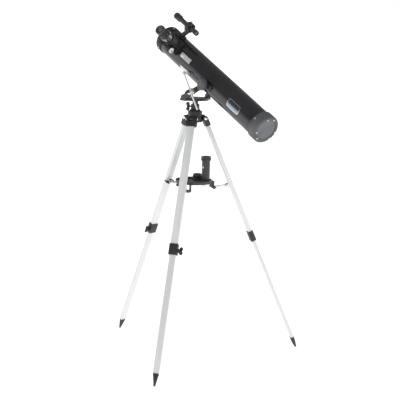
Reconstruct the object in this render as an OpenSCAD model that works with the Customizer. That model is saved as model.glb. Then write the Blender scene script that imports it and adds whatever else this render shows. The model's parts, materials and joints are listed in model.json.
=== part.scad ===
// Newtonian reflector telescope on a sloping fork mount and an adjustable tripod.
// X points forward under the tube, Z points up, and the floor is at Z = 0.

/* [Optical tube] */
// Outer diameter of the tube
tube_d = 92; // [80:1:110]
// Length from the front ring's edge to the pivot axis
tube_front = 314; // [280:1:340]
// Length from the pivot axis to the back of the mirror cap
tube_rear = 294; // [280:1:320]
// Height angle at which the tube is pointed
altitude = 26.5; // [10:0.5:45]
// Diameter of the main mirror
mirror_d = 76; // [60:1:78]

/* [Focuser] */
// Distance of the focuser ahead of the pivot axis
focus_x = 223; // [210:1:235]
// Angle of the focuser above the tube's left side
focus_angle = 35; // [20:1:60]
// Outer radius of an eyepiece barrel
barrel_r = 15.87; // [12.2:0.01:15.88]

/* [Finder] */
// Distance of the finder's ring ahead of the pivot axis
finder_x = 220; // [210:1:228]
// Height of the finder's axis above the tube's axis
finder_z = 97; // [90:1:105]

/* [Fork mount] */
// Distance of the pivot axis behind the swivel axis
pivot_back = 114; // [105:1:118]
// Height of the pivot axis above the leg hinges
pivot_rise = 127.5; // [125:0.5:135]
// Distance of the rod's hinge ahead of the pivot axis, along the tube
link_x = 104; // [98:1:108]
// Distance of the rod's hinge below the tube's axis
link_drop = 16; // [10:1:20]

/* [Tripod] */
// Height of the leg hinges above the floor
hinge_z = 850; // [780:5:900]
// Distance of a leg hinge from the swivel axis
hinge_r = 34; // [33:0.5:38]
// Angle of the legs from upright
leg_tilt = 23.3; // [20:0.1:26]
// Direction of the first leg
leg_phase = 5; // [0:1:10]
// Height of the tray's plate
tray_z = 622; // [615:1:630]

/* [Hidden] */
$fn = 64;

black = "#26272a";
dark_grey = "#4a4c50";
grey = "#8b8f94";
silver = "#c9cbce";
chrome = "#e2e4e6";
glass = "#b9cbd2";

// The model's box is centred on the origin by this shift of the swivel axis.
centre_x = -1.8;
centre_y = 17.4;

gap = 0.05;             // running clearance of a pin or shaft
tube_r = tube_d / 2;
tube_wall = 1.2;
ring_r = tube_r + 3;
cap_r = tube_r + 4;
cap_len = 38;
pivot_z = hinge_z + pivot_rise;
arm_in = 50;            // inner face of a fork arm
arm_out = 56;           // outer face of a fork arm
base_z = 924;           // height of the fork arms' lower ends
arm_angle = atan2(pivot_z - base_z, pivot_back);
arm_len = norm([pivot_z - base_z, pivot_back]);
disc_r = 46.5;          // radius of the fork's round foot plate
rod_y = 64;             // sideways place of the rod
rod_r = 3;
rod_len = 143;
clamp_along = 66;       // place of the rod's clamp along the fork arm
clamp_slack = 4.6;      // room for the rod to wander across the clamp's slot
clamp_x = clamp_along * cos(arm_angle);
clamp_z = -clamp_along * sin(arm_angle);
// The rod's lean from upright, from its clamp to its hinge on the tube.
rod_lean = atan2(link_x * cos(altitude) + link_drop * sin(altitude) - clamp_x,
    link_x * sin(altitude) - link_drop * cos(altitude) - clamp_z);
neck_top = 899;
leg_len = hinge_z / cos(leg_tilt);
collar_s = 458;         // distance of the upper leg's end below the hinge
screw_s = collar_s + 9; // distance of a leg's wing screw below the hinge
leg_w = 25;             // width of an upper leg section
leg_d = 14;             // depth of an upper leg section
low_w = 21.2;
low_d = 10.2;
brace_s = 255;          // distance of a brace's hinge below the leg hinge
brace_in = 16;          // distance of a brace's hinge inside the leg's centre line
brace_r = hinge_r + brace_s * sin(leg_tilt) - brace_in * cos(leg_tilt);
brace_z = hinge_z - brace_s * cos(leg_tilt) - brace_in * sin(leg_tilt);
tray_r = 64;            // radius of the tray's plate
corner_r = 73;          // distance of a tray corner's bolt from the swivel axis
corner_z = tray_z - 18;
pinion_y = 24;          // pinion's offset across the focuser
pinion_z = 72;          // pinion's height along the focuser
tooth_pitch = 0.8 * PI; // rack tooth spacing

hole_circle = 42;       // distance of an accessory hole from the swivel axis
tray_turn = -128;       // direction of the tray's first accessory hole
// Places and radii of the tray's accessory holes.
tray_holes = [for (i = [0 : 4]) let (a = tray_turn + 72 * i)
    [hole_circle * cos(a), hole_circle * sin(a), i == 2 ? 12.4 : barrel_r + 0.2]];

// ---- places -----------------------------------------------------------------

module stand() translate([centre_x, centre_y, 0]) children();

module tube_frame() stand() translate([-pivot_back, 0, pivot_z])
    rotate([0, -altitude, 0]) children();

module focus_frame() tube_frame() translate([focus_x, 0, 0])
    rotate([focus_angle - 90, 0, 0]) children();

module finder_frame() tube_frame() translate([finder_x, 0, finder_z]) children();

module leg_spot(k) stand() rotate([0, 0, leg_phase + 120 * k]) children();

module leg_frame(k) leg_spot(k) translate([hinge_r, 0, hinge_z])
    rotate([0, -leg_tilt, 0]) children();

// ---- shared shapes ------------------------------------------------------------

module rod_x(r, a, b) translate([a, 0, 0]) rotate([0, 90, 0]) cylinder(r = r, h = b - a);

module rod_y(r, a, b) translate([0, b, 0]) rotate([90, 0, 0]) cylinder(r = r, h = b - a);

module box(a, b) translate(a) cube(b - a);

// A thumb screw along +Z from its tip, with two flat wings.
module wing_screw(tip_r, tip_len, span, wing_h) {
    cylinder(r = tip_r, h = tip_len + 1);
    translate([0, 0, tip_len]) cylinder(r = 5, h = 9);
    translate([0, 0, tip_len + 7]) rotate([90, 0, 0]) linear_extrude(3.2, center = true) {
        for (s = [-1, 1]) translate([s * (span / 2 - wing_h / 2), 0]) circle(r = wing_h / 2);
        square([span - wing_h, wing_h * 0.6], center = true);
    }
}

// A round knob along +Z with shallow grip ribs.
module ribbed_knob(r, h, ribs) {
    linear_extrude(h) difference() {
        circle(r = r);
        for (i = [0 : ribs - 1]) rotate(360 * i / ribs) translate([r + 0.7, 0]) circle(r = 1.6, $fn = 16);
    }
}

// ---- tripod -----------------------------------------------------------------

module hub() {
    color(black) stand() difference() {
        union() {
            translate([0, 0, hinge_z - 13]) cylinder(r = 25, h = 38);
            translate([0, 0, hinge_z + 25]) cylinder(r1 = 21, r2 = 15, h = 8);
            translate([0, 0, hinge_z + 32]) cylinder(r = 15, h = neck_top - hinge_z - 32);
            for (k = [0 : 2]) rotate([0, 0, leg_phase + 120 * k]) {
                box([18, -6, hinge_z - 9], [hinge_r, 6, hinge_z + 12]);
                translate([hinge_r, 0, hinge_z]) rod_y(9, -6, 6);
            }
        }
        translate([0, 0, hinge_z]) cylinder(r = 6 + gap, h = 60);
        for (k = [0 : 2]) rotate([0, 0, leg_phase + 120 * k])
            translate([hinge_r, 0, hinge_z]) rod_y(3, -10, 10);
        swivel_lock_place() cylinder(r = 2.5 + gap, h = 30);
    }
}

module leg_bolts() {
    color(chrome) for (k = [0 : 2]) leg_spot(k) translate([hinge_r, 0, hinge_z]) {
        rod_y(3, -18, 18);
        rod_y(5.5, 18.3, 21.5);
        rod_y(3, 17, 19);
        rod_y(3, -19, -17);
        rotate([90, 0, 0]) translate([0, 0, 18.3]) cylinder(r = 6, h = 4.5, $fn = 6);
    }
}

module leg_cap(k) {
    color(black) leg_frame(k) difference() {
        union() {
            box([-8.5, -18, -28], [9.5, 18, 0]);
            rod_y(9, -18, 18);
            box([-5.1, -10.8, -60], [5.1, 10.8, -27]);
        }
        rod_y(3 + gap, -20, 20);
        box([-30, -6.4, -12], [30, 6.4, 20]);
        translate([0, 0, -12]) rod_y(9.5, -6.4, 6.4);
    }
}

module leg_upper(k) {
    color(silver) leg_frame(k) difference() {
        box([-leg_d / 2, -leg_w / 2, -collar_s], [leg_d / 2, leg_w / 2, -28.1]);
        box([-5.5, -11, -collar_s - 1], [5.5, 11, -20]);
    }
}

module collar(k) {
    color(black) leg_frame(k) difference() {
        union() {
            box([-9.5, -14.5, -collar_s - 24], [9.5, 14.5, -collar_s + 14]);
            translate([0, 0, -screw_s]) rod_y(7, 14, 19.6);
        }
        box([-leg_d / 2, -leg_w / 2, -collar_s], [leg_d / 2, leg_w / 2, -collar_s + 20]);
        box([-5.5, -11, -collar_s - 30], [5.5, 11, -collar_s + 5]);
        translate([0, 0, -screw_s]) rod_y(3 + gap, 5, 25);
    }
}

module leg_lower(k) {
    color(silver) leg_frame(k) difference() {
        box([-low_d / 2, -low_w / 2, -leg_len + 42], [low_d / 2, low_w / 2, -375]);
        box([-low_d / 2 + 1.4, -low_w / 2 + 1.4, -leg_len + 66], [low_d / 2 - 1.4, low_w / 2 - 1.4, -370]);
    }
}

module foot(k) {
    color(black) difference() {
        leg_frame(k) intersection() {
            translate([0, 0, -leg_len - 3]) cylinder(r1 = 2.5, r2 = 10.8, h = 44.9);
            box([-6.5, -11, -leg_len - 3], [6.5, 11, -leg_len + 41.9]);
        }
        leg_spot(k) box([300, -60, -60], [500, 60, 0]);
    }
}

module leg_screw(k) {
    color(black) leg_frame(k) translate([0, 10.95, -screw_s]) rotate([-90, 0, 0])
        rotate([0, 0, 90]) wing_screw(3, 9, 27, 12);
}

module bracket(k) {
    color(chrome) leg_frame(k) translate([0, 0, -brace_s]) {
        box([-leg_d / 2 - 2, -10, -13], [-leg_d / 2, 10, 13]);
        for (s = [-1, 1]) {
            translate([-brace_in, s * 8.4, 0]) rod_y(6, -1.6, 1.6);
            box([-brace_in, s * 8.4 - 1.6, -6], [-leg_d / 2, s * 8.4 + 1.6, 6]);
        }
        translate([-brace_in, 0, 0]) {
            rod_y(2.5, -12, 12);
            rod_y(4.5, 10, 13);
            rod_y(4.5, -13, -10);
        }
    }
}

module brace(k) {
    reach = brace_r - corner_r;
    drop = brace_z - corner_z;
    len = norm([reach, drop]);
    color(chrome) leg_spot(k) translate([brace_r, 0, brace_z])
        rotate([0, -atan2(drop, reach), 0]) difference() {
            union() {
                rod_y(5.5, -6, 6);
                box([-len, -6, -4.2], [0, 6, 4.2]);
                translate([-len, 0, 0]) rod_y(4.2, -6, 6);
            }
            rod_y(2.5 + gap, -10, 10);
            box([-len + 7, -4.6, -5], [-8, 4.6, 2.8]);
        }
}

module tray() {
    color(dark_grey) stand() difference() {
        union() {
            translate([0, 0, tray_z]) cylinder(r = tray_r, h = 5);
            for (k = [0 : 2]) rotate([0, 0, leg_phase + 120 * k]) {
                box([30, -17, tray_z], [tray_r, 17, tray_z + 5]);
                for (s = [-1, 1]) {
                    box([60, s * 8.6 - 1.9, corner_z], [corner_r, s * 8.6 + 1.9, tray_z + 5]);
                    translate([corner_r, s * 8.6, corner_z]) rod_y(6, -1.9, 1.9);
                    translate([corner_r, s * 11.9, corner_z]) rod_y(4.5, -1.5, 1.5);
                }
            }
            difference() {
                translate([0, 0, tray_z]) cylinder(r = tray_r, h = 11);
                translate([0, 0, tray_z - 1]) cylinder(r = tray_r - 2.5, h = 20);
            }
        }
        for (p = tray_holes) translate([p[0], p[1], tray_z - 1]) cylinder(r = p[2], h = 7);
    }
}

module tray_hole(i) stand() translate([tray_holes[i][0], tray_holes[i][1], tray_z + 5]) children();

module barlow() {
    color(black) tray_hole(0) difference() {
        union() {
            translate([0, 0, -18]) cylinder(r = barrel_r, h = 19);
            translate([0, 0, 0.3]) cylinder(r = 17.5, h = 4);
            translate([0, 0, 4]) cylinder(r = 14.5, h = 72);
            translate([0, 0, 74]) cylinder(r = 18, h = 15);
        }
        translate([0, 0, 60]) cylinder(r = 12.3, h = 40);
        translate([0, 0, -20]) cylinder(r = 11, h = 30);
    }
}

module eyepiece_long() {
    color(black) tray_hole(1) difference() {
        union() {
            translate([0, 0, -18]) cylinder(r = barrel_r, h = 19);
            translate([0, 0, 0.3]) cylinder(r = 17, h = 16);
            translate([0, 0, 16]) cylinder(r1 = 17, r2 = 14, h = 5);
        }
        translate([0, 0, 17]) cylinder(r1 = 5, r2 = 10, h = 6);
        translate([0, 0, -20]) cylinder(r = 13, h = 12);
    }
}

module eyepiece_short() {
    color(black) tray_hole(2) difference() {
        union() {
            translate([0, 0, -18]) cylinder(r = 12.2, h = 19);
            translate([0, 0, 0.3]) cylinder(r = 14, h = 12);
        }
        translate([0, 0, 9]) cylinder(r1 = 3.5, r2 = 8, h = 5);
        translate([0, 0, -20]) cylinder(r = 10, h = 12);
    }
}

// ---- fork mount ----------------------------------------------------------------

module swivel_lock_place() rotate([0, 0, 52]) translate([6.1, 0, hinge_z + 41])
    rotate([0, 90, 0]) children();

module arm_line() translate([-pivot_back, 0, pivot_z]) rotate([0, arm_angle, 0]) children();

module yoke() {
    color(black) stand() difference() {
        union() {
            translate([0, 0, neck_top + 0.4]) cylinder(r = 10, h = base_z - neck_top - 3);
            translate([0, 0, base_z - 11]) cylinder(r = disc_r, h = 8.5);
            box([-15, -arm_out, base_z - 11], [15, arm_out, base_z - 2.5]);
            for (s = [-1, 1]) translate([0, s * (arm_in + arm_out) / 2, 0]) arm_line() {
                rod_y(14, -3, 3);
                box([0, -3, -9], [arm_len, 3, 9]);
                translate([arm_len, 0, 0]) rod_y(11, -3, 3);
            }
            arm_line() translate([clamp_along, 0, 0]) rod_y(11, arm_in, arm_out);
        }
        translate([-pivot_back, 0, pivot_z]) rod_y(4 + gap, -70, 70);
        arm_line() translate([clamp_along, 0, 0]) rod_y(4 + gap, 40, 70);
        translate([0, 0, neck_top - 1]) cylinder(r = 5, h = 20);
    }
}

module swivel_shaft() {
    color(chrome) stand() {
        translate([0, 0, hinge_z + 2]) cylinder(r = 6, h = neck_top - hinge_z - 1.7);
        translate([0, 0, neck_top]) cylinder(r = 5, h = 19);
    }
}

module swivel_lock() {
    color(black) stand() swivel_lock_place() wing_screw(2.5, 12.6, 31, 13);
}

module clamp_place() stand() translate([clamp_x - pivot_back, rod_y, pivot_z + clamp_z])
    rotate([0, rod_lean, 0]) children();

module rod_clamp() {
    color(chrome) clamp_place() difference() {
        union() {
            rod_y(11, arm_out + 0.3 - rod_y, 7.5);
            rod_y(4, arm_in - rod_y, 0);
        }
        for (s = [-1, 1]) translate([s * clamp_slack, 0, -30]) cylinder(r = rod_r + gap, h = 60);
        box([-clamp_slack, -rod_r - gap, -30], [clamp_slack, rod_r + gap, 30]);
        rod_y(2 + gap, 2, 12);
    }
}

module clamp_screw() {
    color(black) clamp_place() translate([0, 3.1, 0]) rotate([-90, 0, 0]) wing_screw(2, 5.3, 22, 11);
}

module rod() {
    color(chrome) tube_frame() translate([link_x, rod_y, -link_drop])
        rotate([0, altitude + rod_lean, 0]) difference() {
            union() {
                translate([0, 0, -rod_len]) cylinder(r = rod_r, h = rod_len);
                rod_y(6, -4, 4);
            }
            rod_y(2.5 + gap, -10, 10);
        }
}

module rod_bracket() {
    color(chrome) tube_frame() difference() {
        union() {
            rotate([-25, 0, 0]) {
                box([link_x + 4, 40, -9], [link_x + 48, 48.6, 9]);
                for (x = [link_x + 24, link_x + 38]) translate([x, 0, 0]) rod_y(3.2, 48, 50.4);
            }
            translate([link_x, 0, -link_drop]) {
                box([0, 38, -7], [14, 49, 7]);
                rod_y(7, 38, 54);
                rod_y(2.5, 50, 70);
                rod_y(4.5, 68.4, 71);
            }
        }
        rod_x(tube_r, -10, 200);
    }
}

module pivot_bosses() {
    color(dark_grey) tube_frame() difference() {
        union() {
            for (s = [-1, 1]) {
                translate([0, s * (arm_in - 4.3), 0]) rod_y(13, -4, 4);
                box([-34, s * 44 - 4, -9], [34, s * 44 + 4, 9]);
            }
        }
        rod_x(tube_r, -60, 60);
        rod_y(4 + gap, -60, 60);
    }
}

module knob_left() {
    color(grey) tube_frame() {
        rod_y(4, tube_r + 0.2, arm_out + 3);
        translate([0, arm_out + 0.4, 0]) rotate([-90, 0, 0]) {
            ribbed_knob(20, 12, 24);
            cylinder(r = 15, h = 15);
        }
    }
}

module knob_right() {
    color(grey) tube_frame() mirror([0, 1, 0]) {
        rod_y(4, tube_r + 0.2, arm_out + 3);
        translate([0, arm_out + 0.4, 0]) rotate([-90, 0, 0]) ribbed_knob(8.5, 4.6, 12);
    }
}

// ---- optical tube ------------------------------------------------------------------

module tube() {
    color(black) tube_frame() difference() {
        rod_x(tube_r, -tube_rear + 14, tube_front - 3);
        rod_x(tube_r - tube_wall, -tube_rear, tube_front);
        translate([focus_x, 0, 0]) rotate([focus_angle - 90, 0, 0]) cylinder(r = 21, h = 60);
    }
}

module front_ring() {
    color(black) tube_frame() rotate([0, 90, 0]) rotate_extrude($fn = 96)
        translate([0, tube_front]) polygon([[tube_r - tube_wall, -3], [tube_r, -3], [tube_r, -24],
            [ring_r - 1, -24], [ring_r, -22], [ring_r, -3], [ring_r - 1, -1], [ring_r - 2.5, 0],
            [tube_r - 2.2, 0], [tube_r - 2.2, -3]]);
}

module rear_cap() {
    round_r = 7;
    arc = [for (a = [0 : 15 : 90]) [cap_r - round_r + round_r * cos(a), -round_r * sin(a)]];
    color(dark_grey) tube_frame() difference() {
        translate([-tube_rear + round_r, 0, 0]) rotate([0, 90, 0]) rotate_extrude($fn = 96)
            polygon(concat([[tube_r, cap_len - round_r], [cap_r - 1.5, cap_len - round_r],
                [cap_r, cap_len - round_r - 3]], arc, [[36, -round_r], [36, -2], [0, -2], [0, 7],
                [tube_r, 7]]));
        collimation_places() rod_x(2 + gap, -tube_rear - 5, -tube_rear + 20);
        cap_screw_places() rod_y(1.6, 30, 60);
    }
}

module cap_screw_places() for (i = [0 : 2]) rotate([120 * i + 38, 0, 0])
    translate([-tube_rear + cap_len - 8, 0, 0]) children();

module ring_screw_places() for (i = [0 : 2]) rotate([120 * i - 30, 0, 0])
    translate([tube_front - 16, 0, 0]) children();

module cap_screws() {
    color(chrome) tube_frame() {
        cap_screw_places() { rod_y(1.6, tube_r, cap_r + 0.5); rod_y(3, cap_r, cap_r + 1.6); }
        ring_screw_places() rod_y(2.6, ring_r, ring_r + 1.4);
    }
}

module collimation_places() for (i = [0 : 5]) rotate([60 * i - (i % 2 == 0 ? 16 : 38), 0, 0])
    translate([0, 0, 40.5]) children();

module collimation_screws() {
    color(chrome) tube_frame() collimation_places() {
        rod_x(2, -tube_rear + 0.5, -tube_rear + 20);
        rod_x(3.4, -tube_rear - 2.2, -tube_rear);
        rod_x(2, -tube_rear - 1, -tube_rear + 1);
    }
}

module mirror_cell() {
    color(grey) tube_frame() difference() {
        union() {
            rod_x(tube_r - 1.8, -tube_rear + 18, -tube_rear + 23);
            for (i = [0 : 2]) rotate([120 * i + 90, 0, 0])
                box([-tube_rear + 22, -4, mirror_d / 2 + 0.2], [-tube_rear + 35, 4, mirror_d / 2 + 3]);
        }
        collimation_places() rod_x(2, -tube_rear + 10, -tube_rear + 30);
        rod_x(15, -tube_rear + 10, -tube_rear + 30);
    }
}

module main_mirror() {
    bowl = [for (i = [0 : 8]) let (r = mirror_d / 2 * i / 8) [r, 9.3 + r * r / 2400]];
    color(glass) tube_frame() translate([-tube_rear + 23.1, 0, 0]) rotate([0, 90, 0])
        rotate_extrude($fn = 96) polygon(concat([[mirror_d / 2, 0], [0, 0]], bowl));
}

module spider() {
    color(black) tube_frame() {
        rod_x(9, focus_x + 14, focus_x + 36);
        for (i = [0 : 2]) rotate([120 * i + 20, 0, 0])
            box([focus_x + 20, -0.6, 5], [focus_x + 32, 0.6, tube_r - tube_wall - 0.05]);
    }
}

module secondary() {
    color(glass) tube_frame() translate([focus_x, 0, 0]) rotate([focus_angle - 90, 0, 0])
        difference() {
            rod_x(11, -11, 13.9);
            rotate([0, -45, 0]) box([-60, -30, -30], [0, 30, 60]);
        }
}

module focuser() {
    color(black) focus_frame() difference() {
        union() {
            box([-30, -25, 34], [30, 25, 54]);
            translate([0, 0, 46]) cylinder(r = 23, h = 12);
            translate([0, 0, 46]) cylinder(r = 21, h = 46);
            box([-17, 5, pinion_z - 9], [17, pinion_y, pinion_z + 9]);
            translate([0, pinion_y, pinion_z]) rod_x(9, -17, 17);
        }
        rod_x(tube_r, -60, 60);
        translate([0, 0, 30]) cylinder(r = 17.58, h = 80);
        translate([0, pinion_y, pinion_z]) rod_x(2.5 + gap, -30, 30);
        translate([0, pinion_y, pinion_z]) rod_x(6.3, -8, 8);
        box([-5, 10, 30], [5, 20.9, 100]);
    }
}

module drawtube() {
    color(chrome) focus_frame() {
        difference() {
            union() {
                translate([0, 0, 38]) cylinder(r = 17.5, h = 80);
                translate([0, 0, 108]) cylinder(r = 20, h = 10);
            }
            translate([0, 0, 30]) cylinder(r = barrel_r + gap, h = 90);
            translate([0, 0, 113]) rod_y(1.6, -25, -10);
        }
        rack();
    }
}

// Toothed strip on the drawtube, with a gap facing the pinion at rest.
module rack() {
    pitch_y = pinion_y - 4.8;
    difference() {
        box([-4, 16.8, 40], [4, pitch_y - 0.9, 103]);
        translate([0, 0, 30]) cylinder(r = 17.4, h = 80);
    }
    for (i = [-12 : 11]) translate([0, pitch_y, pinion_z + (i + 0.5) * tooth_pitch])
        rotate([0, 90, 0]) linear_extrude(8, center = true)
            polygon([[-0.85, -1], [0.85, -1], [0.35, 0.5], [-0.35, 0.5]]);
}

module pinion() {
    color(chrome) focus_frame() translate([0, pinion_y, pinion_z]) {
        rod_x(2.5, -36, 36);
        rotate([0, 90, 0]) linear_extrude(10, center = true) {
            circle(r = 3.8);
            for (i = [0 : 11]) rotate(30 * i - 90) translate([4.8, 0])
                polygon([[-1.4, -0.8], [-1.4, 0.8], [0.5, 0.3], [0.5, -0.3]]);
        }
    }
}

module focus_knobs() {
    color(dark_grey) focus_frame() translate([0, pinion_y, pinion_z])
        for (s = [-1, 1]) rotate([0, 90 * s, 0]) translate([0, 0, 20]) difference() {
            union() {
                ribbed_knob(13, 11, 20);
                cylinder(r = 9, h = 13);
                translate([0, 0, -2]) cylinder(r = 6, h = 4);
            }
            translate([0, 0, -5]) cylinder(r = 2.5, h = 40);
        }
}

module eyepiece() {
    color(black) focus_frame() difference() {
        union() {
            translate([0, 0, 92]) cylinder(r = barrel_r, h = 27);
            translate([0, 0, 118.3]) cylinder(r = 18, h = 9);
            translate([0, 0, 127]) cylinder(r = 16.5, h = 18);
            translate([0, 0, 145]) cylinder(r1 = 18, r2 = 16.5, h = 9);
        }
        translate([0, 0, 147]) cylinder(r1 = 6, r2 = 12, h = 8);
        translate([0, 0, 90]) cylinder(r = 13.5, h = 20);
    }
}

// ---- finder -------------------------------------------------------------------------

module finder_bracket() {
    color(black) finder_frame() difference() {
        union() {
            box([11, -11, -finder_z + 40], [51, 11, -finder_z + tube_r + 4]);
            translate([0, 4, 0]) rotate([90, 0, 0]) linear_extrude(8)
                polygon([[20, -finder_z + tube_r], [40, -finder_z + tube_r], [9, -14], [-9, -14]]);
            rod_x(17.5, -9, 9);
        }
        rod_x(13, -20, 20);
        translate([0, 0, -finder_z]) rod_x(tube_r, -60, 60);
        finder_screw_places() cylinder(r = 1.6, h = 30);
    }
}

module finder_screw_places() for (i = [0 : 2]) rotate([120 * i, 0, 0])
    translate([0, 0, 8.7]) children();

module finder_screws() {
    color(chrome) finder_frame() finder_screw_places() {
        cylinder(r = 1.6, h = 12);
        translate([0, 0, 11]) cylinder(r = 3.6, h = 5);
    }
}

module finder() {
    color(black) finder_frame() rotate([0, 90, 0]) rotate_extrude()
        polygon([[6.8, -46], [8.6, -46], [9.5, -44], [9.5, -30], [8.6, -28], [8.6, 52], [11.2, 59],
            [12, 61], [12, 88], [10.8, 88], [10.8, 84], [10, 83], [10, 61], [7.2, 53], [7.2, -34],
            [6.8, -36]]);
}

module finder_lenses() {
    color(glass) finder_frame() {
        rod_x(10, 75, 79);
        rod_x(6.8, -42, -38);
    }
}

// ---- labels ---------------------------------------------------------------------------

module wrapped_label(x, angle, len, width, edge_r) {
    tube_frame() rotate([angle - 90, 0, 0]) intersection() {
        rod_x(tube_r + 0.5, x - len, x + len);
        difference() {
            translate([x, 0, 20]) linear_extrude(60) {
                square([len, width - 2 * edge_r], center = true);
                square([len - 2 * edge_r, width], center = true);
                for (i = [-1, 1], j = [-1, 1])
                    translate([i * (len / 2 - edge_r), j * (width / 2 - edge_r)]) circle(r = edge_r);
            }
            rod_x(tube_r, x - len, x + len);
        }
    }
}

module badge() { color(silver) wrapped_label(-158, 12, 66, 29, 8); }

module foil_label() { color(chrome) wrapped_label(144, 25, 58, 17, 2); }

hub();
leg_bolts();
leg_cap(0);  // leg_cap_a
leg_cap(1);  // leg_cap_b
leg_cap(2);  // leg_cap_c
leg_upper(0);  // leg_upper_a
leg_upper(1);  // leg_upper_b
leg_upper(2);  // leg_upper_c
collar(0);  // collar_a
collar(1);  // collar_b
collar(2);  // collar_c
leg_lower(0);  // leg_lower_a
leg_lower(1);  // leg_lower_b
leg_lower(2);  // leg_lower_c
foot(0);  // foot_a
foot(1);  // foot_b
foot(2);  // foot_c
leg_screw(0);  // leg_screw_a
leg_screw(1);  // leg_screw_b
leg_screw(2);  // leg_screw_c
bracket(0);  // bracket_a
bracket(1);  // bracket_b
bracket(2);  // bracket_c
brace(0);  // brace_a
brace(1);  // brace_b
brace(2);  // brace_c
tray();
barlow();
eyepiece_long();
eyepiece_short();
yoke();
swivel_shaft();
swivel_lock();
rod_clamp();
clamp_screw();
rod();
rod_bracket();
pivot_bosses();
knob_left();
knob_right();
tube();
front_ring();
rear_cap();
cap_screws();
main_mirror();
mirror_cell();
collimation_screws();
spider();
secondary();
focuser();
drawtube();
pinion();
focus_knobs();
eyepiece();
finder_bracket();
finder();
finder_lenses();
finder_screws();
badge();
foil_label();
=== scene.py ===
import json
import math

import bmesh
import bpy
from mathutils import Matrix, Vector


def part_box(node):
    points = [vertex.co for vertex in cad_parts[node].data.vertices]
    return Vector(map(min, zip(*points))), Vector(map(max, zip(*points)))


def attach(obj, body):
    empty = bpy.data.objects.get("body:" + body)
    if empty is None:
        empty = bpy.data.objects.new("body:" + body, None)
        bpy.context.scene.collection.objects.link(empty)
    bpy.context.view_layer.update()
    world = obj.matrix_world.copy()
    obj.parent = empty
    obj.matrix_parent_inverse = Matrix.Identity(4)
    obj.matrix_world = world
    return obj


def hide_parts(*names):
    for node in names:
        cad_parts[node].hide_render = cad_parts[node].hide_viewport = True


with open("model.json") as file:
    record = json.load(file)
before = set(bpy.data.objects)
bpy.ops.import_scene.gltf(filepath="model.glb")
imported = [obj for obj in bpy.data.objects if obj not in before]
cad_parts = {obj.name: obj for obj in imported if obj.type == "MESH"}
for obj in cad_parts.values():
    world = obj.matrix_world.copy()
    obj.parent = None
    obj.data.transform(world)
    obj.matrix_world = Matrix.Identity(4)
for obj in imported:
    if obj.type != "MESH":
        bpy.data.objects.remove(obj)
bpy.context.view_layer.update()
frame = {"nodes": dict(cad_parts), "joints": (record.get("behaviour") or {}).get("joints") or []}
NODES = frame["nodes"]
JOINTS = {j["name"]: j for j in frame["joints"]}
MM = 0.001
LEGS = "abc"
CEILING = 0.27  # brightness of the studio overhead, against white at the horizon

# ---- frames, worked out from the joints ----------------------------------------------------------


def axes_matrix(origin, x, y, z):
    """A matrix that places local X, Y and Z along the given directions."""
    m = Matrix((x, y, z)).transposed().to_4x4()
    m.translation = origin
    return m


def turned_x(matrix):
    """The matrix whose local Z runs along the given matrix's X."""
    return matrix @ Matrix.Rotation(math.pi / 2, 4, "Y")


PIVOT = Vector(JOINTS["altitude"]["pos_m"])
TUBE_X = Vector(JOINTS["focus_turn"]["axis"]).normalized()
SIDE_Y = Vector((0, 1, 0))
TUBE_Z = TUBE_X.cross(SIDE_Y)
TUBE = axes_matrix(PIVOT, TUBE_X, SIDE_Y, TUBE_Z)
TUBE_TURNED = turned_x(TUBE)

FOCUS_OUT = Vector(JOINTS["focus_slide"]["axis"]).normalized()
PINION = Vector(JOINTS["focus_turn"]["pos_m"])
FOCUS_SIDE = FOCUS_OUT.cross(TUBE_X)
FOCUS_X = (PINION - PIVOT).dot(TUBE_X)
FOCUS = axes_matrix(PIVOT + TUBE_X * FOCUS_X, TUBE_X, FOCUS_SIDE, FOCUS_OUT)


def leg_matrix(letter):
    """Origin at the leg's hinge, Z up along the leg and X away from the swivel axis."""
    down = Vector(JOINTS[f"leg_{letter}_slide"]["axis"]).normalized()
    across = Vector(JOINTS[f"leg_{letter}_fold"]["axis"]).normalized()
    return axes_matrix(JOINTS[f"leg_{letter}_fold"]["pos_m"], across.cross(-down), across, -down)


def along(node, axis, origin):
    """Lowest and highest place of a CAD node along an axis, measured from origin."""
    places = [(v.co - origin).dot(axis) for v in NODES[node].data.vertices]
    return min(places), max(places)


def radius_of(node):
    """Largest distance of a node from the tube's axis, in millimetres."""
    offsets = [v.co - PIVOT for v in NODES[node].data.vertices]
    return max((rest - TUBE_X * rest.dot(TUBE_X)).length for rest in offsets) / MM


FINDER_RISE = 97 * MM  # the finder's axis above the tube's axis
FINDER_AT = PIVOT + TUBE_X * (sum(along("finder_screws", TUBE_X, PIVOT)) / 2) + TUBE_Z * FINDER_RISE
FINDER = axes_matrix(FINDER_AT, TUBE_X, SIDE_Y, TUBE_Z)

# places along the tube and radii about its axis, in millimetres
REAR, CAP_FRONT = (place / MM for place in along("rear_cap", TUBE_X, PIVOT))
RING_BACK, FRONT = (place / MM for place in along("front_ring", TUBE_X, PIVOT))
CAP_R = radius_of("rear_cap")
RING_R = radius_of("front_ring")
TUBE_R = radius_of("tube")

# ---- materials -----------------------------------------------------------------------------------


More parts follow.
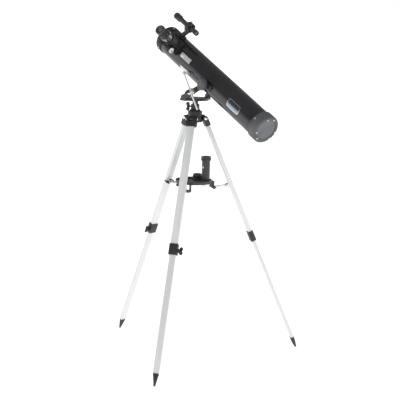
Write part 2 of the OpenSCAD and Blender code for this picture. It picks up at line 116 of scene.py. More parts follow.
class Paint:
    """A Principled material with helpers for the texture nodes it needs."""

    def __init__(self, name, color, roughness, metallic=0.0, **sockets):
        self.material = bpy.data.materials.new(name)
        self.material.use_nodes = True
        self.tree = self.material.node_tree
        self.shader = self.tree.nodes["Principled BSDF"]
        self.shader.inputs["Base Color"].default_value = (*color, 1)
        self.shader.inputs["Roughness"].default_value = roughness
        self.shader.inputs["Metallic"].default_value = metallic
        for socket, value in sockets.items():
            self.shader.inputs[socket.replace("_", " ")].default_value = value
        self.last_normal = None

    def node(self, kind, **values):
        made = self.tree.nodes.new(kind)
        for key, value in values.items():
            setattr(made, key, value)
        return made

    def link(self, out, into):
        self.tree.links.new(out, into)
        return self

    def place(self, turns=(), scale=(1, 1, 1)):
        """Object coordinates, turned step by step and then scaled."""
        out = self.node("ShaderNodeTexCoord").outputs["Object"]
        for turn in turns:
            mapping = self.node("ShaderNodeMapping")
            mapping.inputs["Rotation"].default_value = turn
            self.link(out, mapping.inputs["Vector"])
            out = mapping.outputs[0]
        mapping = self.node("ShaderNodeMapping")
        mapping.inputs["Scale"].default_value = scale
        self.link(out, mapping.inputs["Vector"])
        return mapping.outputs[0]

    def noise(self, scale, detail=3.0, roughness=0.5, place=None):
        made = self.node("ShaderNodeTexNoise")
        made.inputs["Scale"].default_value = scale
        made.inputs["Detail"].default_value = detail
        made.inputs["Roughness"].default_value = roughness
        self.link(place or self.place(), made.inputs["Vector"])
        return made.outputs["Fac"]

    def ramp(self, value, stops):
        made = self.node("ShaderNodeValToRGB")
        band = made.color_ramp
        while len(band.elements) < len(stops):
            band.elements.new(0.5)
        for element, (place, color) in zip(band.elements, stops):
            element.position = place
            element.color = (*color, 1)
        self.link(value, made.inputs["Fac"])
        return made.outputs["Color"]

    def spread(self, value, low, high, start=0.3, end=0.7):
        """Maps start to end, by default a texture's middle range, onto low to high."""
        made = self.node("ShaderNodeMapRange")
        limits = {"From Min": start, "From Max": end, "To Min": low, "To Max": high}
        for socket, number in limits.items():
            made.inputs[socket].default_value = number
        self.link(value, made.inputs["Value"])
        return made.outputs["Result"]

    def color(self, value, stops):
        return self.link(self.ramp(value, stops), self.shader.inputs["Base Color"])

    def gloss(self, value, low, high):
        return self.link(self.spread(value, low, high), self.shader.inputs["Roughness"])

    def bump(self, height, depth, strength=1.0):
        made = self.node("ShaderNodeBump")
        made.inputs["Distance"].default_value = depth
        made.inputs["Strength"].default_value = strength
        self.link(height, made.inputs["Height"])
        if self.last_normal:
            self.link(self.last_normal, made.inputs["Normal"])
        self.last_normal = made.outputs["Normal"]
        return self.link(self.last_normal, self.shader.inputs["Normal"])


def moulded(name, dark, light, rough_low, rough_high, grain=900, depth=0.00006):
    """Moulded plastic: a fine pebbled grain, slow tone changes and a few scuffs."""
    paint = Paint(name, light, rough_high)
    paint.color(paint.noise(18, 4), [(0.3, dark), (0.7, light)])
    paint.gloss(paint.noise(45, 5), rough_low, rough_high)
    paint.bump(paint.noise(grain, 2), depth, 0.5)
    return paint.material


def lacquer():
    """Gloss black enamel: faint orange peel, dust specks and handling haze."""
    paint = Paint("tube_lacquer", (0.016, 0.016, 0.018), 0.13, Specular_IOR_Level=0.62)
    paint.color(paint.noise(9, 3), [(0.35, (0.012, 0.012, 0.014)), (0.7, (0.022, 0.022, 0.025))])
    paint.gloss(paint.noise(14, 6, 0.6), 0.10, 0.17)
    paint.bump(paint.noise(260, 2), 0.00006, 0.2)
    paint.bump(paint.noise(2600, 1), 0.00003, 0.3)
    return paint.material


def powder_coat():
    """Black coating on cast metal, a little rougher than the lacquer."""
    tone = 0.022
    paint = Paint("fork_metal", (tone, tone, tone), 0.42)
    paint.color(paint.noise(25, 4), [(0.3, (tone * 0.7,) * 3), (0.72, (tone * 1.35,) * 3)])
    paint.gloss(paint.noise(60, 5), 0.32, 0.5)
    paint.bump(paint.noise(700, 3), 0.0001, 0.45)
    return paint.material


def chrome(name="chrome", tone=0.78, rough=0.08, metallic=1.0):
    """Bright plating with fine polish lines and cloudy patches; satin below a metallic of 1."""
    paint = Paint(name, (tone, tone, tone), rough, metallic=metallic)
    paint.color(paint.noise(30, 4), [(0.3, (tone * 0.86,) * 3), (0.7, (tone, tone, tone * 1.01))])
    paint.gloss(paint.noise(80, 6, 0.6), rough * 0.7, rough * 2.2)
    paint.bump(paint.noise(1400, 2), 0.00002, 0.3)
    return paint.material


def drawn_aluminium(letter):
    """Anodised extrusion: die lines that run down the leg, and soft cloudy patches."""
    direction = Vector(JOINTS[f"leg_{letter}_fold"]["axis"])
    heading = math.atan2(-direction.x, direction.y)
    tilt = leg_matrix(letter).col[2].xyz.angle(Vector((0, 0, 1)))
    turns = ((0, 0, -heading), (0, tilt, 0))
    paint = Paint(f"leg_aluminium_{letter}", (0.86, 0.87, 0.87), 0.36, metallic=0.25)
    lines = paint.noise(1, 3, 0.6, paint.place(turns, (900, 900, 5)))
    clouds = paint.noise(7, 4)
    mix = paint.node("ShaderNodeMath", operation="MULTIPLY")
    paint.link(lines, mix.inputs[0])
    paint.link(paint.spread(clouds, 0.85, 1.0), mix.inputs[1])
    paint.color(mix.outputs[0], [(0.25, (0.74, 0.755, 0.75)), (0.65, (0.88, 0.89, 0.885))])
    paint.gloss(lines, 0.30, 0.46)
    paint.bump(lines, 0.00004, 0.5)
    return paint.material


def coated_glass(name, tint):
    """Lens glass with a slight coating colour and a trace of dust."""
    paint = Paint(name, tint, 0.03, Transmission_Weight=0.85, IOR=1.5)
    paint.shader.inputs["Coat Weight"].default_value = 0.6
    paint.gloss(paint.noise(120, 5), 0.02, 0.09)
    return paint.material


def polished_mirror():
    """Aluminised front surface with a little dust."""
    paint = Paint("mirror_glass", (0.9, 0.91, 0.93), 0.02, metallic=1.0)
    paint.color(paint.noise(160, 6), [(0.35, (0.84, 0.85, 0.87)), (0.6, (0.93, 0.94, 0.95))])
    paint.gloss(paint.noise(90, 5), 0.012, 0.06)
    return paint.material


def badge_print():
    """Printed plate: dark blue above and pale blue-grey below, under clear varnish."""
    paint = Paint("badge_metal", (0.3, 0.34, 0.4), 0.3, metallic=0.35, Coat_Weight=0.5)
    low, high = along("badge", TUBE_Z, Vector((0, 0, 0)))
    slope = math.atan2(TUBE_X.z, TUBE_X.x)
    split = paint.node("ShaderNodeSeparateXYZ")
    paint.link(paint.place(((0, slope, 0),)), split.inputs[0])
    rise = paint.spread(split.outputs["Z"], 0.0, 1.0, low, high)
    paint.color(rise, [(0.0, (0.42, 0.49, 0.54)), (0.42, (0.26, 0.32, 0.37)),
                       (0.5, (0.03, 0.04, 0.055)), (1.0, (0.02, 0.03, 0.045))])
    paint.gloss(paint.noise(200, 4), 0.22, 0.38)
    paint.bump(paint.noise(1500, 1), 0.00002, 0.3)
    return paint.material


BLACK = moulded("black_plastic", (0.018, 0.018, 0.020), (0.034, 0.034, 0.037), 0.34, 0.5)
CAP = moulded("cap_plastic", (0.075, 0.077, 0.082), (0.105, 0.107, 0.112), 0.3, 0.46)
TRAY = moulded("tray_plastic", (0.040, 0.040, 0.043), (0.065, 0.065, 0.069), 0.36, 0.55,
               grain=500, depth=0.0001)
SATIN = moulded("accessory_plastic", (0.030, 0.030, 0.033), (0.050, 0.050, 0.054), 0.2, 0.34,
                grain=1600, depth=0.00003)
GREY = moulded("knob_plastic", (0.060, 0.066, 0.074), (0.092, 0.100, 0.110), 0.26, 0.4)
PLATE = moulded("back_plate", (0.105, 0.112, 0.125), (0.150, 0.158, 0.172), 0.3, 0.42)
RUBBER = moulded("grip_rubber", (0.016, 0.016, 0.017), (0.026, 0.026, 0.027), 0.6, 0.78,
                 grain=1200, depth=0.00008)
WHITE = moulded("marking_white", (0.75, 0.75, 0.75), (0.85, 0.85, 0.85), 0.35, 0.45)
COATED = powder_coat()
LACQUER = lacquer()
CHROME = chrome()
STEEL = chrome("satin_steel", 0.92, 0.24, 0.45)
# the focus knobs' metal end caps: a near-white satin tone, a painted highlight in place of the
# glint of light on polished metal
METAL_CAP_PAINTED_HIGHLIGHT = chrome("cap_metal_painted_highlight", 0.96, 0.12, 0.3)
FOIL = chrome("foil", 0.82, 0.14, 0.55)
DULL_CHROME = chrome("worn_chrome", 0.30, 0.16)
LENS = coated_glass("lens_glass", (0.75, 0.82, 0.9))
MIRROR = polished_mirror()
BADGE = badge_print()
ALUMINIUM = {letter: drawn_aluminium(letter) for letter in LEGS}

# ---- mesh helpers --------------------------------------------------------------------------------


def finish_piece(piece, material, body, slot, *replaced):
    """Gives a piece its material and body, and hides the CAD nodes it replaces."""
    piece.data.materials.clear()
    piece.data.materials.append(material)
    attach(piece, body)
    if replaced:
        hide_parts(*replaced)


def add_object(name, mesh):
    piece = bpy.data.objects.new(name, mesh)
    bpy.context.scene.collection.objects.link(piece)
    return piece


def mesh_from(bm, name, matrix=None):
    """The mesh of a bmesh, which is freed, moved by a matrix if there is one."""
    mesh = bpy.data.meshes.new(name)
    bm.to_mesh(mesh)
    bm.free()
    if matrix is not None:
        mesh.transform(matrix)
    return mesh


def smooth_by_angle(mesh, degrees=35):
    """Smooth shading with sharp edges where faces meet at more than the angle."""
    bm = bmesh.new()
    bm.from_mesh(mesh)
    for face in bm.faces:
        face.smooth = True
    for edge in bm.edges:
        sharp = len(edge.link_faces) == 2 and edge.calc_face_angle() > math.radians(degrees)
        edge.smooth = not sharp
    bm.to_mesh(mesh)
    bm.free()


def apply_modifiers(piece):
    """Makes a piece's modifiers part of its mesh."""
    graph = bpy.context.evaluated_depsgraph_get()
    mesh = bpy.data.meshes.new_from_object(piece.evaluated_get(graph))
    piece.modifiers.clear()
    piece.data = mesh


def softened(node, material, body, slot, width=0.7, segments=2):
    """A copy of a CAD node with its flat faces joined up and every hard edge rounded."""
    piece = add_object(f"{node}_soft", NODES[node].data.copy())
    bm = bmesh.new()
    bm.from_mesh(piece.data)
    bmesh.ops.remove_doubles(bm, verts=bm.verts, dist=1e-6)
    bmesh.ops.dissolve_limit(bm, angle_limit=math.radians(1), verts=bm.verts, edges=bm.edges)
    bm.to_mesh(piece.data)
    bm.free()
    bevel = piece.modifiers.new("round", "BEVEL")
    bevel.width = width * MM
    bevel.segments = segments
    bevel.limit_method = "ANGLE"
    bevel.angle_limit = math.radians(40)
    bevel.use_clamp_overlap = True
    apply_modifiers(piece)
    smooth_by_angle(piece.data)
    finish_piece(piece, material, body, slot, node)


def join_rings(bm, first, second):
    """Faces between two rings of vertices, either of which may be a single point."""
    count = max(len(first), len(second))
    if count == 1:
        return
    for i in range(count):
        corners = [first[i % len(first)], first[(i + 1) % len(first)],
                   second[(i + 1) % len(second)], second[i % len(second)]]
        bm.faces.new(list(dict.fromkeys(corners)))


def add_ring(bm, radii, height):
    """Vertices spaced evenly about Z, one for each radius."""
    turn = 2 * math.pi / len(radii)
    return [bm.verts.new((radius * math.cos(turn * i), radius * math.sin(turn * i), height))
            for i, radius in enumerate(radii)]


def lathe(name, matrix, outline, segments=96):
    """Turns a closed outline of (radius, height) in millimetres about local Z."""
    bm = bmesh.new()
    rings = []
    for radius, height in outline:
        count = 1 if radius < 1e-6 else segments
        rings.append(add_ring(bm, [radius * MM] * count, height * MM))
    for first, second in zip(rings, rings[1:] + rings[:1]):
        join_rings(bm, first, second)
    bmesh.ops.recalc_face_normals(bm, faces=bm.faces)
    mesh = mesh_from(bm, name, matrix)
    smooth_by_angle(mesh)
    return add_object(name, mesh)


def rounded(outline, radius, steps=3):
    """Replaces each corner of a (radius, height) outline by a small arc."""
    smooth = []
    count = len(outline)
    for i, corner in enumerate(outline):
        before = Vector(outline[i - 1]) - Vector(corner)
        after = Vector(outline[(i + 1) % count]) - Vector(corner)
        cut = min(radius, before.length * 0.45, after.length * 0.45)
        if cut < 1e-4 or corner[0] < 1e-6:
            smooth.append(corner)
            continue
        start = Vector(corner) + before.normalized() * cut
        end = Vector(corner) + after.normalized() * cut
        for k in range(steps + 1):
            t = k / steps
            point = start * (1 - t) ** 2 + Vector(corner) * 2 * t * (1 - t) + end * t ** 2
            smooth.append((point.x, point.y))
    return smooth


def grooved(radius, start, pitch, count, groove):
    """An outline's row of equal grooves, each given as (depth, height) points."""
    return [(radius - depth, start + pitch * i + height)
            for i in range(count) for depth, height in groove]


def joined(name, pieces):
    """Several pieces of one material made into one."""
    bm = bmesh.new()
    for piece in pieces:
        bm.from_mesh(piece.data)
        bpy.data.objects.remove(piece)
    return add_object(name, mesh_from(bm, name))


def grip_ring(name, matrix, radius, start, end, ribs, depth=0.7):
    """A knurled band about local Z: ribs that run along it, with rounded crests."""
    crest = 0.6
    bm = bmesh.new()
    around = ribs * 6
    heights = (start, start + 0.5, end - 0.5, end)
    trims = (depth, 0, 0, depth)
    rings = []
    for height, trim in zip(heights, trims):
        radii = []
        for i in range(around):
            wave = 0.5 + 0.5 * math.cos(ribs * 2 * math.pi * i / around)
            radii.append((radius - trim - depth * (1 - wave ** crest)) * MM)
        rings.append(add_ring(bm, radii, height * MM))
    for first, second in zip(rings, rings[1:]):
        join_rings(bm, first, second)
    bm.faces.new(rings[0])
    bm.faces.new(rings[-1])
    bmesh.ops.recalc_face_normals(bm, faces=bm.faces)
    mesh = mesh_from(bm, name, matrix)
    smooth_by_angle(mesh, 50)
    return add_object(name, mesh)


# ---- floor, light and camera ---------------------------------------------------------------------


def add_floor():
    """A wide white floor, polished a little, that glows to stay white between the lights."""
    bm = bmesh.new()
    bmesh.ops.create_grid(bm, x_segments=1, y_segments=1, size=200)
    floor = add_object("floor", mesh_from(bm, "floor"))
    paint = Paint("floor_white", (0.9, 0.9, 0.9), 0.12,
                  Emission_Color=(1, 1, 1, 1), Emission_Strength=0.72)
    paint.gloss(paint.noise(2, 2), 0.08, 0.14)
    floor.data.materials.append(paint.material)


def add_light(name, place, power):
    """A soft square light that shapes the object without showing in its glossy faces."""
    middle = Vector((0, 0, 0.7))
    data = bpy.data.lights.new(name, "AREA")
    data.size = 2.5
    data.energy = power
    light = bpy.data.objects.new(name, data)
    light.location = place
    light.rotation_euler = (middle - Vector(place)).to_track_quat("-Z", "Y").to_euler()
    light.visible_glossy = False
    bpy.context.scene.collection.objects.link(light)


def add_world():
    """A studio that is white near the horizon and dimmer overhead."""
    world = bpy.data.worlds.new("studio")
    bpy.context.scene.world = world
    world.use_nodes = True
    tree = world.node_tree
    split = tree.nodes.new("ShaderNodeSeparateXYZ")
    band = tree.nodes.new("ShaderNodeValToRGB")
    for element, (place, tone) in zip(band.color_ramp.elements, ((0.18, 1.0), (0.30, CEILING))):
        element.position = place
        element.color = (tone, tone, tone, 1)
    tree.links.new(tree.nodes.new("ShaderNodeTexCoord").outputs["Generated"], split.inputs[0])
    tree.links.new(split.outputs["Z"], band.inputs["Fac"])
    tree.links.new(band.outputs["Color"], tree.nodes["Background"].inputs["Color"])


def add_camera():
    """A long lens looking slightly down at the object's rear left."""
    heading = math.radians(141.5)
    height = math.radians(10.15)
    roll = 0.022
    distance = 4.142
    aim = Vector((-0.0165, -0.0013, 0.5593))
    toward = Vector((math.cos(height) * math.cos(heading), math.cos(height) * math.sin(heading),
                     math.sin(height)))
    right = Vector((0, 0, 1)).cross(toward).normalized()
    up = toward.cross(right)
    right_rolled = right * math.cos(roll) + up * math.sin(roll)
    up_rolled = up * math.cos(roll) - right * math.sin(roll)
    data = bpy.data.cameras.new("camera")
    data.lens = 105.3
    data.sensor_width = 36
    data.clip_end = 100
    camera = bpy.data.objects.new("camera", data)
    camera.matrix_world = axes_matrix(aim + toward * distance, right_rolled, up_rolled, toward)
    bpy.context.scene.collection.objects.link(camera)
    bpy.context.scene.camera = camera


bpy.context.scene.view_settings.view_transform = "Standard"
add_floor()
add_world()
add_camera()
add_light("key", (0.6, 3.2, 3.2), 45)
add_light("fill", (-3.4, -0.6, 2.2), 25)

# ---- tripod --------------------------------------------------------------------------------------

softened("hub", BLACK, "tripod", "black_plastic", 1.2, 3)
softened("leg_bolts", CHROME, "tripod", "chrome", 0.6)
for letter in LEGS:
    softened(f"leg_cap_{letter}", BLACK, f"leg_{letter}", "black_plastic", 1.5, 3)
    softened(f"leg_upper_{letter}", ALUMINIUM[letter], f"leg_{letter}", "leg_aluminium", 0.8, 3)
    softened(f"collar_{letter}", BLACK, f"leg_{letter}", "black_plastic", 1.6, 3)
    softened(f"bracket_{letter}", CHROME, f"leg_{letter}", "chrome", 0.5)
    softened(f"leg_lower_{letter}", ALUMINIUM[letter], f"lower_{letter}", "leg_aluminium", 0.9, 3)
    softened(f"foot_{letter}", BLACK, f"lower_{letter}", "black_plastic", 0.8)
    softened(f"leg_screw_{letter}", BLACK, f"leg_screw_{letter}", "black_plastic", 0.9, 3)
    softened(f"brace_{letter}", CHROME, f"brace_{letter}", "chrome", 0.5)
softened("tray", TRAY, "tray", "tray_plastic", 0.7)

# ---- fork mount ----------------------------------------------------------------------------------

softened("yoke", COATED, "yoke", "fork_metal", 1.4, 3)
softened("swivel_lock", BLACK, "swivel_lock", "black_plastic", 0.9, 3)
softened("rod_clamp", STEEL, "clamp", "chrome", 0.8)
softened("clamp_screw", BLACK, "clamp_screw", "black_plastic", 0.9, 3)
softened("rod", STEEL, "rod", "chrome", 0.5)
softened("rod_bracket", STEEL, "tube", "chrome", 0.6)
softened("pivot_bosses", COATED, "tube", "fork_metal", 0.8)

# ---- screws with crossed slots -------------------------------------------------------------------


def box_mesh(bm, low, high):
    """Adds a box between two corners in millimetres."""
    corners = [bm.verts.new((x * MM, y * MM, z * MM))
               for z in (low[2], high[2]) for y in (low[1], high[1]) for x in (low[0], high[0])]
    for face in ((0, 2, 3, 1), (4, 5, 7, 6), (0, 1, 5, 4),
                 (2, 6, 7, 3), (0, 4, 6, 2), (1, 3, 7, 5)):
        bm.faces.new([corners[i] for i in face])


def cross_head(radius, height):
    """The mesh of a domed screw head with a crossed slot, its seat at Z = 0."""
    dome = [(0, 0), (radius, 0), (radius, height * 0.35), (radius * 0.86, height * 0.75),
            (radius * 0.5, height * 0.96), (0, height)]
    head = lathe("head", Matrix.Identity(4), dome, 24)
    slot_w = radius * 0.16
    slot_l = radius * 0.62
    for name, half in (("slot_x", (slot_l, slot_w)), ("slot_y", (slot_w, slot_l))):
        bm = bmesh.new()
        box_mesh(bm, (-half[0], -half[1], height * 0.45), (half[0], half[1], height * 2))
        cutter = add_object(name, mesh_from(bm, name))
        cut = head.modifiers.new(name, "BOOLEAN")
        cut.object = cutter
        cut.operation = "DIFFERENCE"
        cut.solver = "EXACT"
        apply_modifiers(head)
        bpy.data.objects.remove(cutter)
    mesh = head.data
    bpy.data.objects.remove(head)
    smooth_by_angle(mesh, 40)
    return mesh


def copies(name, mesh, places):
    """One piece made of a mesh repeated at each matrix."""
    bm = bmesh.new()
    for place in places:
        moved = mesh.copy()
        moved.transform(place)
        bm.from_mesh(moved)
        bpy.data.meshes.remove(moved)
    return add_object(name, mesh_from(bm, name))


# ---- mirror cap and front ring -------------------------------------------------------------------


def rear_cap():
    """A moulded cap: rounded rim, recessed back plate with raised rings, grooves near its joint."""
    edge = 7
    arc = [(CAP_R - edge + edge * math.sin(a), REAR + edge - edge * math.cos(a))
           for a in [math.radians(15 * i) for i in range(7)]]
    grooves = grooved(CAP_R, CAP_FRONT - 8, 2.2, 3, ((0, 0), (0.7, 0.5), (0, 1.0)))
    recess = [(0, REAR + 2.4), (35.7, REAR + 2.4), (36.1, REAR + 0.4), (36.8, REAR)]
    inside = [(CAP_R - 1.4, CAP_FRONT), (TUBE_R + 0.05, CAP_FRONT), (TUBE_R + 0.05, REAR + 9),
              (0, REAR + 9)]
    cap = lathe("mirror_cap", TUBE_TURNED, recess + arc + grooves + inside, 144)
    finish_piece(cap, CAP, "tube", "black_plastic", "rear_cap")
    back = REAR + 1.6
    steps = [(0, back), (12, back), (12.5, back + 0.5), (13.2, back + 0.5), (13.7, back)]
    steps += [(23, back), (23.4, back + 0.4), (24.2, back + 0.4), (24.6, back)]
    steps += [(34.9, back), (35.6, back + 0.6), (35.6, back + 1.2), (0, back + 1.2)]
    finish_piece(lathe("back_plate", TUBE_TURNED, steps, 96), PLATE, "tube", "black_plastic")


def front_ring():
    """The ring that closes the tube's mouth, with fine grip lines around it."""
    outline = [(TUBE_R + 0.05, RING_BACK), (RING_R - 0.8, RING_BACK), (RING_R, RING_BACK + 1)]
    outline += grooved(RING_R, RING_BACK + 5, 1.9, 7, ((0, 0), (0.45, 0.45), (0, 0.9)))
    outline += [(RING_R, FRONT - 2.4), (RING_R - 0.7, FRONT - 0.9), (RING_R - 2.2, FRONT),
                (TUBE_R - 1.6, FRONT), (TUBE_R - 2.1, FRONT - 0.6), (TUBE_R - 2.1, FRONT - 2.9),
                (TUBE_R + 0.05, FRONT - 2.9)]
    ring = lathe("mouth_ring", TUBE_TURNED, outline, 144)
    finish_piece(ring, BLACK, "tube", "black_plastic", "front_ring")


def tube_screws():
    """Crossed screws on the mirror cap's back, on its side and on the front ring."""
    back = cross_head(3.4, 2.2)
    side = cross_head(3.0, 1.6)
    circle = 40.5
    pair_angles = (16, 38)  # degrees that a pair's two screws lie before their sixths of a turn
    places = []
    for i in range(6):
        turn = Matrix.Rotation(math.radians(60 * i - pair_angles[i % 2]), 4, "X")
        seat = Matrix.Translation((REAR * MM, 0, circle * MM))
        places.append(turned_x(TUBE @ turn @ seat) @ Matrix.Rotation(math.pi, 4, "X"))
    finish_piece(copies("cap_back_screws", back, places), CHROME, "tube", "chrome",
                 "collimation_screws")
    rows = ((CAP_FRONT - 8, 38, CAP_R), (FRONT - 16, -30, RING_R))
    places = []
    for i in range(3):
        for place, phase, radius in rows:
            turn = Matrix.Rotation(math.radians(120 * i + phase), 4, "X")
            seat = Matrix.Translation((place * MM, radius * MM, 0))
            places.append(TUBE @ turn @ seat @ Matrix.Rotation(-math.pi / 2, 4, "X"))
    finish_piece(copies("cap_side_screws", side, places), CHROME, "tube", "chrome",
                 "cap_screws")


rear_cap()
front_ring()
tube_screws()

# ---- finder --------------------------------------------------------------------------------------


def finder():
    """A small straight-through telescope: ridged objective cell, plain body, ridged eye end."""
    low, high = (place / MM for place in along("finder", TUBE_X, FINDER_AT))
    outline = [(6.8, low), (8.5, low), (9.5, low + 1.4)]
    outline += grooved(9.5, low + 4, 2.4, 4, ((0, 0), (0, 1.3), (0.6, 1.6), (0.6, 2.1)))
    outline += [(9.5, low + 15), (8.6, low + 18), (8.6, high - 37), (11, high - 29)]
    outline += [(12, high - 26)]
    outline += grooved(12, high - 22, 2.3, 8, ((0, 0), (0, 1.2), (0.6, 1.5), (0.6, 2.0)))
    outline += [(12, high - 1.2), (11.2, high), (10.8, high), (10, high - 1.5),
                (10, high - 27), (7.2, high - 35), (7.2, low + 12), (6.8, low + 10)]
    body = lathe("finder_body", turned_x(FINDER), outline, 72)
    finish_piece(body, SATIN, "tube", "black_plastic", "finder")


def finder_screws():
    """Three knurled thumb screws that hold the finder in its ring."""
    pieces = []
    for i in range(3):
        spot = FINDER @ Matrix.Rotation(math.radians(120 * i), 4, "X")
        pieces.append(grip_ring("knurl", spot, 3.6, 19.6, 24.2, 18, 0.4))
        pieces.append(lathe("stem", spot, [(0, 8.8), (1.5, 8.8), (1.5, 20), (0, 20)], 16))
        pieces.append(lathe("tip", spot, [(0, 24.1), (2.6, 24.1), (2.2, 24.6), (0, 24.7)], 16))
    finish_piece(joined("finder_thumb_screws", pieces), CHROME, "tube", "chrome", "finder_screws")


finder()
finder_screws()
softened("finder_bracket", BLACK, "tube", "black_plastic", 1.0, 3)

# ---- focuser and eyepieces -----------------------------------------------------------------------


def drawtube():
    """The knurled lip around the drawtube; the tube and its rack stay CAD nodes."""
    band = grip_ring("drawtube_grip", FOCUS, 19.9, 109.4, 116.4, 48, 0.5)
    finish_piece(band, DULL_CHROME, "drawtube", "chrome")


BARREL_R = 15.82  # millimetres, a barrel of the 31.75 mm size
BARREL_BORE = 14.2
SMALL_BARREL_R = 12.15  # millimetres, a barrel of the 24.5 mm size
BARREL_DEPTH = 18  # millimetres from an accessory's flange to the foot of its barrel


def barrel(name, matrix, start, end, body, radius=BARREL_R, bore=BARREL_BORE):
    """The bright sleeve at the foot of an accessory."""
    outline = [(bore, start), (radius, start), (radius, end), (bore, end)]
    finish_piece(lathe(name, matrix, outline, 72), CHROME, body, "chrome")


def on_tray(node):
    """The frame of an accessory in the tray, at its flange, and its height above that."""
    low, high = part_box(node)
    flange = low.z + BARREL_DEPTH * MM
    centre = Matrix.Translation(((low.x + high.x) / 2, (low.y + high.y) / 2, flange))
    return centre, (high.z - flange) / MM


def focuser_eyepiece():
    """The eyepiece in the drawtube: turned body, rubber grip, bright barrel and an eye lens."""
    outline = [(13.4, 119), (17.6, 118.4), (18, 127.2), (15.9, 128), (15.9, 145), (18, 146),
               (16.5, 154), (12, 154), (6, 148), (0, 148), (0, 121)]
    shell = lathe("focuser_eyepiece", FOCUS, rounded(outline, 0.8), 72)
    finish_piece(shell, SATIN, "eyepiece", "accessory_plastic", "eyepiece")
    band = grip_ring("focuser_eyepiece_grip", FOCUS, 16.5, 129, 144, 30, 0.6)
    finish_piece(band, RUBBER, "eyepiece", "accessory_plastic")
    dome = [(0, 148), (5.8, 148), (5.8, 148.4), (3.5, 149), (0, 149.3)]
    finish_piece(lathe("focuser_eyepiece_lens", FOCUS, dome, 48), LENS, "eyepiece", "lens_glass")
    barrel("focuser_eyepiece_barrel", FOCUS, 92, 119, "eyepiece")


def tray_eyepieces():
    """The two eyepieces in the tray's holes: turned body, rubber grip, barrel and eye lens."""
    sizes = (("eyepiece_long", 17, 16, BARREL_R), ("eyepiece_short", 14, 9, SMALL_BARREL_R))
    for node, rim, eye_z, barrel_r in sizes:
        centre, top = on_tray(node)
        outline = [(0, 0.3), (rim, 0.3), (rim, top * 0.25), (rim - 1.2, top * 0.3),
                   (rim - 1.2, top * 0.75), (rim - 1.8, top - 0.5), (rim - 5, top),
                   (rim * 0.4, eye_z - 1), (0, eye_z - 1)]
        shell = lathe(f"{node}_body", centre, rounded(outline, 0.7), 72)
        finish_piece(shell, SATIN, node, "accessory_plastic", node)
        band = grip_ring(f"{node}_grip", centre, rim - 0.3, top * 0.32, top * 0.72, 28, 0.6)
        finish_piece(band, RUBBER, node, "accessory_plastic")
        barrel(f"{node}_barrel", centre, -BARREL_DEPTH, 0.4, node, barrel_r, barrel_r - 1.6)
        lens = [(0, eye_z - 0.9), (rim * 0.38, eye_z - 0.9), (rim * 0.2, eye_z - 0.1),
                (0, eye_z + 0.1)]
        finish_piece(lathe(f"{node}_lens", centre, lens, 48), LENS, node, "lens_glass")


def barlow():
    """The tall lens tube: bright barrel, plain body with a white dot, grooved collar on top."""
    centre, _ = on_tray("barlow")
    outline = [(11.5, 0.3), (17.3, 0.3), (17.5, 3.8), (14.5, 4.6), (14.5, 73.4), (17.4, 74.2)]
    outline += [(18, 75)]
    outline += grooved(18, 76.5, 2.6, 4, ((0, 0), (0.6, 0.5), (0.6, 1.1), (0, 1.6)))
    outline += [(18, 88.2), (17.2, 89), (13, 89), (12.3, 88.2), (12.3, 60), (11.5, 58)]
    body = lathe("barlow_body", centre, outline, 72)
    finish_piece(body, SATIN, "barlow", "accessory_plastic", "barlow")
    barrel("barlow_barrel", centre, -BARREL_DEPTH, 0.4, "barlow")
    dot = [(0, 13.4), (3.6, 13.4), (3.6, 14.5), (0, 14.75)]
    spot = centre @ Matrix.Translation((0, 0, 51 * MM)) @ Matrix.Rotation(math.radians(100), 4, "Z")
    finish_piece(lathe("barlow_dot", turned_x(spot), dot, 24), WHITE, "barlow", "accessory_plastic")


def focus_knobs():
    """Two knurled knobs with polished metal end caps on the pinion shaft; the caps' near-white tone
    is a painted highlight.
    """
    knobs = []
    caps = []
    shaft = axes_matrix(PINION, TUBE_X, FOCUS_SIDE, FOCUS_OUT)
    for turn in (math.pi / 2, -math.pi / 2):
        knob = shaft @ Matrix.Rotation(turn, 4, "Y")
        knobs.append(grip_ring("knurl", knob, 13, 20, 31, 36, 0.7))
        knobs.append(lathe("neck", knob, [(2.5, 18), (6, 18), (6, 20.3), (2.5, 20.3)], 32))
        cap = rounded([(0, 30.4), (10, 30.4), (10, 32.5), (0, 33)], 0.6)
        caps.append(lathe("cap", knob, cap, 48))
    finish_piece(joined("focus_knob_grips", knobs), BLACK, "pinion", "black_plastic", "focus_knobs")
    # the caps' near-white tone paints in the highlight of light on their metal faces
    finish_piece(joined("focus_knob_caps", caps), METAL_CAP_PAINTED_HIGHLIGHT, "pinion", "chrome")


def pivot_knob():
    """The near altitude knob: a ribbed rim and a turned face with steps."""
    face = (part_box("knob_left")[1].y - PIVOT.y) / MM
    thick = 15
    back = face - thick
    matrix = TUBE @ Matrix.Rotation(-math.pi / 2, 4, "X")
    band = grip_ring("knob_left_grip", matrix, 20, back, back + 12, 32, 0.9)
    finish_piece(band, GREY, "knob_left", "knob_plastic", "knob_left")
    dish = [(0, back + 11), (17.2, back + 11), (17.2, back + 12.6), (15.4, back + 13.2),
            (15, back + 14.9), (12, back + thick), (11.6, back + 13.6), (9, back + 13.4),
            (8.6, back + 14.8), (0, back + thick)]
    dished = lathe("knob_left_face", matrix, rounded(dish, 0.5), 72)
    finish_piece(dished, GREY, "knob_left", "knob_plastic")
    stud = [(0, TUBE_R + 0.4), (4, TUBE_R + 0.4), (4, back + 1), (0, back + 1)]
    finish_piece(lathe("knob_left_stud", matrix, stud, 32), CHROME, "knob_left", "chrome")


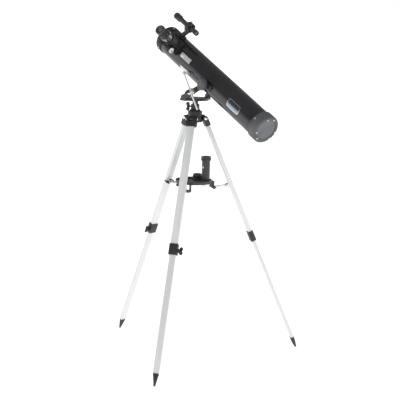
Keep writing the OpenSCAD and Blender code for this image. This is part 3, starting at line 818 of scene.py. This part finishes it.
def bracket_nut(letter):
    """A small wing nut on the end of a brace's hinge pin."""
    across = leg_matrix(letter).col[1].xyz
    pin = Vector(JOINTS[f"brace_{letter}_swing"]["pos_m"])
    seat = leg_matrix(letter) @ Matrix.Rotation(-math.pi / 2, 4, "X")
    seat.translation = pin + across * along(f"bracket_{letter}", across, pin)[1]
    bm = bmesh.new()
    for low_x, high_x in ((-12, -3), (3, 12)):
        box_mesh(bm, (low_x, -1.5, 1.5), (high_x, 1.5, 8.5))
    wings = add_object("wings", mesh_from(bm, "wings", seat))
    bevel = wings.modifiers.new("round", "BEVEL")
    bevel.width = 1.2 * MM
    bevel.segments = 3
    apply_modifiers(wings)
    hub = lathe("hub", seat, rounded([(0, -0.4), (5, -0.4), (4.4, 7.5), (0, 7.5)], 0.8), 32)
    smooth_by_angle(wings.data, 40)
    nut = joined(f"bracket_nut_{letter}", [hub, wings])
    finish_piece(nut, BLACK, f"leg_{letter}", "black_plastic")


softened("focuser", COATED, "tube", "fork_metal", 0.9, 3)
drawtube()
focuser_eyepiece()
tray_eyepieces()
barlow()
focus_knobs()
pivot_knob()
softened("knob_right", GREY, "knob_right", "knob_plastic", 0.5)
for letter in "ab":  # the third leg's pin has a plain head
    bracket_nut(letter)

# ---- labels --------------------------------------------------------------------------------------


def wrapped_border(name, x, angle, length, width, corner, line, material, slot):
    """A raised outline that follows a label's rounded edge around the tube.

    x is the label's middle along the tube and angle its place around it, in degrees.
    """
    def outline():
        """The label's edge as close points, along and around the tube in millimetres."""
        points = []
        for quarter in range(4):
            middle_x = (length / 2 - corner) * (1 if quarter in (0, 3) else -1)
            middle_y = (width / 2 - corner) * (1 if quarter in (0, 1) else -1)
            for step in range(7):
                a = math.radians(90 * quarter + 15 * step)
                points.append((middle_x + corner * math.cos(a), middle_y + corner * math.sin(a)))
        return dense(points, 1.5)

    def place(point, radius):
        """A point of the flat label, wrapped onto the tube at a radius."""
        a = math.radians(angle) + point[1] / TUBE_R
        out = SIDE_Y * math.cos(a) + TUBE_Z * math.sin(a)
        return PIVOT + TUBE_X * (x + point[0]) * MM + out * radius * MM

    def dense(points, gap):
        """A closed outline with points no further apart than about the gap."""
        result = []
        for a, b in zip(points, points[1:] + points[:1]):
            count = max(1, int(math.dist(a, b) / gap))
            result += [(a[0] + (b[0] - a[0]) * i / count, a[1] + (b[1] - a[1]) * i / count)
                       for i in range(count)]
        return result

    outer = outline()
    inner = [(along_tube * (1 - 2 * line / length), around_tube * (1 - 2 * line / width))
             for along_tube, around_tube in outer]
    bm = bmesh.new()
    rings = []
    for points, radius in ((outer, TUBE_R + 0.1), (outer, TUBE_R + 0.85), (inner, TUBE_R + 0.85),
                           (inner, TUBE_R + 0.1)):
        rings.append([bm.verts.new(place(p, radius)) for p in points])
    for first, second in zip(rings, rings[1:] + rings[:1]):
        join_rings(bm, first, second)
    bmesh.ops.recalc_face_normals(bm, faces=bm.faces)
    mesh = mesh_from(bm, name)
    smooth_by_angle(mesh, 50)
    finish_piece(add_object(name, mesh), material, "tube", slot)


wrapped_border("badge_border", x=-158, angle=12, length=66, width=29, corner=8, line=1.9,
               material=CHROME, slot="badge_metal")

# ---- materials on the CAD nodes that keep their shape --------------------------------------------


def repaint(material, *nodes):
    """Gives a material to CAD nodes."""
    for name in nodes:
        mesh = NODES[name].data
        mesh.materials.clear()
        mesh.materials.append(material)


repaint(LACQUER, "tube")
repaint(CHROME, "swivel_shaft", "pinion")
repaint(DULL_CHROME, "drawtube")
repaint(CAP, "mirror_cell")
repaint(COATED, "spider")
repaint(MIRROR, "main_mirror", "secondary")
repaint(LENS, "finder_lenses")
repaint(BADGE, "badge")
repaint(FOIL, "foil_label")
